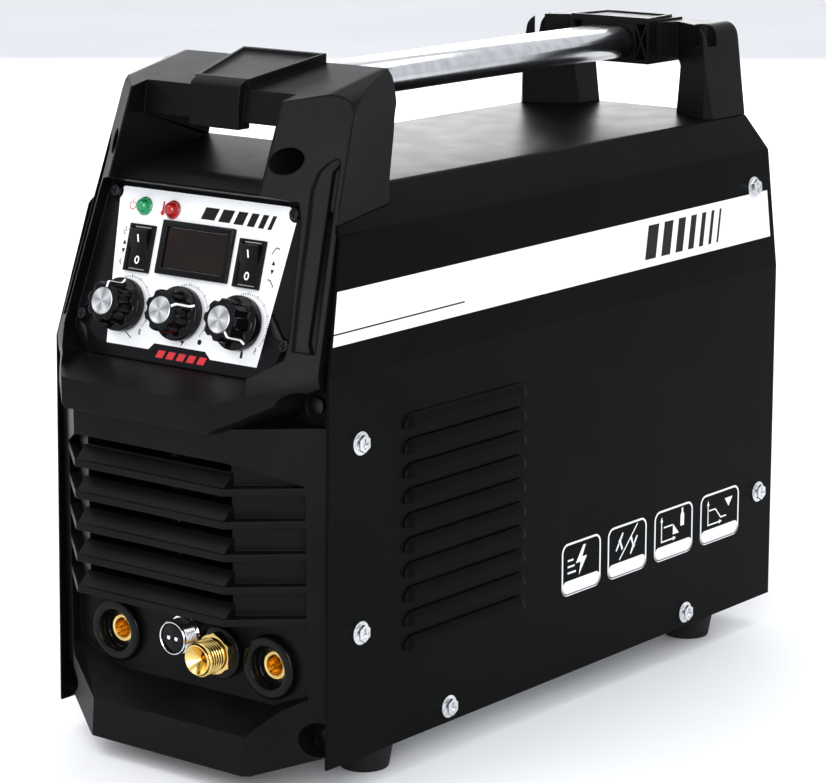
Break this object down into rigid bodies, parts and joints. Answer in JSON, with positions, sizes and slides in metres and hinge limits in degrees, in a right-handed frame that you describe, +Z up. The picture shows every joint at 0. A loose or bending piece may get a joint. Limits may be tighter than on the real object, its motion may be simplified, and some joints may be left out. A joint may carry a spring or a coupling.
{
  "type": "tig welding machine",
  "caption": "Portable inverter TIG welding machine: upright sheet-metal case with a moulded front, sloping control panel, grille, front sockets and a tubular carrying handle.",
  "frame": {"origin": "centre of the machine's footprint, on the floor under its feet", "axes": "+Z up; the front panel faces -Y; +X is on the right when looking at the front"},
  "size_m": [0.1662, 0.412, 0.3132],
  "materials": {
    "powder_coat": "satin fine-textured black powder coat",
    "galvanised": "galvanised sheet",
    "moulding": "charcoal black ABS, fine spark-eroded grain",
    "rubber": "matt",
    "zinc": "bright zinc plate",
    "black_screw": "black oxide",
    "tube": "polished extrusion",
    "panel_print": "white overlay with black border",
    "led_green": "clear tinted lens",
    "led_red": "clear tinted lens",
    "gloss_black": "polished black",
    "window": "smoked filter",
    "switch_black": "satin black nylon",
    "switch_red": "polished red",
    "cap_aluminium": "spun face",
    "brass": "machined",
    "chrome": "plated",
    "board": "solder mask",
    "heatsink": "extruded",
    "component": "moulded epoxy",
    "copper": "copper",
    "core": "ferrite and winding tape",
    "sleeve": "sleeving",
    "hose": "smooth"
  },
  "bodies": {
    "case": {"cover": "powder_coat", "base_pan": "galvanised", "rear_panel": "powder_coat", "front_fascia": "moulding", "rear_bracket": "moulding", "handle_tube": "tube", "rubber_feet": "rubber", "foot_screws": "zinc", "case_screws": "zinc", "fascia_screws": "black_screw", "front_handle_bolts": "black_screw", "bracket_screws": "zinc", "control_plate": "panel_print", "plate_screws": "black_screw", "power_led": "led_green", "fault_led": "led_red", "display_bezel": "gloss_black", "display_window": "window", "mode_switch_body": "switch_black", "slope_switch_body": "switch_black", "potentiometers": "zinc", "control_board": "board", "positive_socket": "gloss_black", "positive_contact": "brass", "negative_socket": "gloss_black", "negative_contact": "brass", "gas_outlet_flange": "gloss_black", "gas_outlet": "brass", "remote_socket_shell": "chrome", "remote_socket_insert": "gloss_black", "remote_socket_pins": "chrome", "fan_frame": "component", "fan_guard": "chrome", "main_switch_body": "switch_black", "gas_inlet": "brass", "cord_gland": "component", "earth_stud": "brass", "main_board": "board", "heatsinks": "heatsink", "power_modules": "component", "main_transformer": "core", "output_choke": "copper", "filter_capacitors": "sleeve", "gas_valve": "brass", "gas_hoses": "hose", "output_busbars": "copper"},
    "mode_rocker": {"mode_switch_rocker": "switch_black"},
    "slope_rocker": {"slope_switch_rocker": "switch_black"},
    "mains_rocker": {"main_switch_rocker": "switch_red"},
    "downslope_dial": {"downslope_shaft": "zinc", "downslope_knob": "gloss_black", "downslope_knob_cap": "cap_aluminium"},
    "current_dial": {"current_shaft": "zinc", "current_knob": "gloss_black", "current_knob_cap": "cap_aluminium"},
    "postflow_dial": {"postflow_shaft": "zinc", "postflow_knob": "gloss_black", "postflow_knob_cap": "cap_aluminium"},
    "fan": {"fan_rotor": "component"},
    "valve_plunger": {"gas_valve_plunger": "zinc"}
  },
  "joints": [
    {"name": "mode_switch", "type": "hinge", "parent": "case", "child": "mode_rocker", "pos_m": [-0.032, -0.16686, 0.22882], "axis": [1, 0, 0], "range_deg": [-20, 0]},
    {"name": "slope_switch", "type": "hinge", "parent": "case", "child": "slope_rocker", "pos_m": [0.032, -0.16686, 0.22882], "axis": [1, 0, 0], "range_deg": [-20, 0]},
    {"name": "mains_switch", "type": "hinge", "parent": "case", "child": "mains_rocker", "pos_m": [0.036, 0.1741, 0.205], "axis": [-1, 0, 0], "range_deg": [-20, 0]},
    {"name": "downslope_turn", "type": "hinge", "parent": "case", "child": "downslope_dial", "pos_m": [-0.034, -0.17511, 0.20435], "axis": [0, -0.9593, 0.2823], "range_deg": [-140, 160]},
    {"name": "current_turn", "type": "hinge", "parent": "case", "child": "current_dial", "pos_m": [0, -0.17511, 0.20435], "axis": [0, -0.9593, 0.2823], "range_deg": [-83, 217]},
    {"name": "postflow_turn", "type": "hinge", "parent": "case", "child": "postflow_dial", "pos_m": [0.034, -0.17511, 0.20435], "axis": [0, -0.9593, 0.2823], "range_deg": [-12, 288]},
    {"name": "fan_spin", "type": "hinge", "parent": "case", "child": "fan", "pos_m": [0, 0.1636, 0.099], "axis": [0, 1, 0], "continuous": true},
    {"name": "valve_stroke", "type": "slide", "parent": "case", "child": "valve_plunger", "axis": [0, 0, 1], "range_m": [0, 0.002], "stiffness_N_per_m": 300, "springref_m": -0.004}
  ]
}
